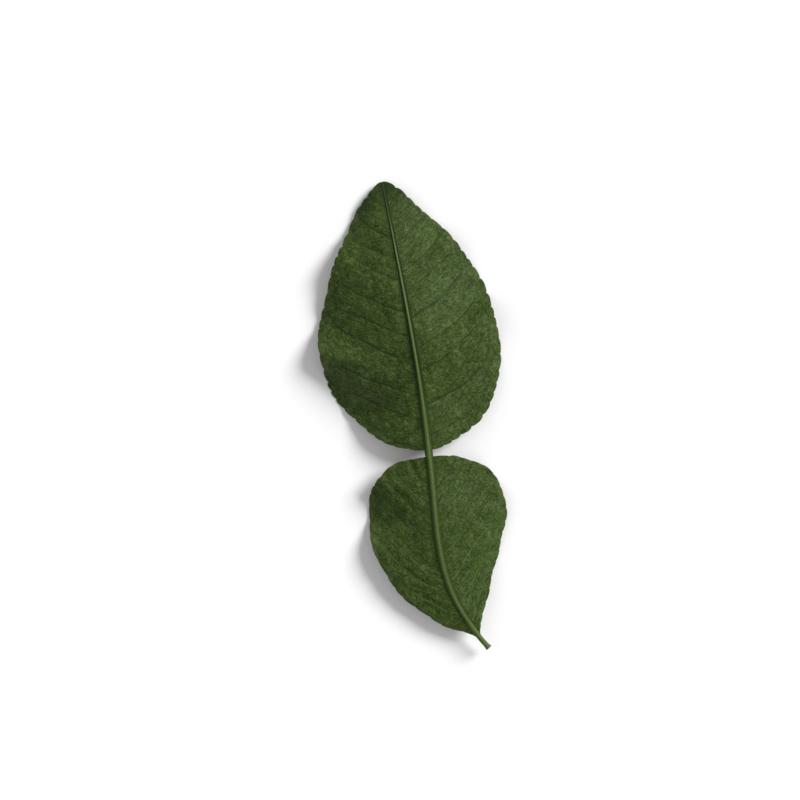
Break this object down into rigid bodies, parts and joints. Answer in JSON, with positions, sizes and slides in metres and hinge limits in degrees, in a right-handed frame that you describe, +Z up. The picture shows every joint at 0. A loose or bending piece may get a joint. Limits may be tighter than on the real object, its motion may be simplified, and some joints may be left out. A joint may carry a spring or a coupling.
{
  "type": "makrut lime leaf",
  "caption": "Makrut lime leaf: a toothed oval blade jointed to a broad winged stalk on a short bare stalk, lying with its underside up.",
  "frame": {"origin": "middle of the leaf's box, on the surface that it lies on", "axes": "+Y along the leaf from the stalk's foot to the blade's tip, +Z up out of the surface, through the underside"},
  "size_m": [0.0358, 0.0946, 0.0085],
  "materials": {
    "leaf": "matte grey-green underside, glossier dark green upper face, both with fine oil glands"
  },
  "bodies": {
    "root": {"makrut_lime_leaf": "leaf"}
  },
  "joints": []
}
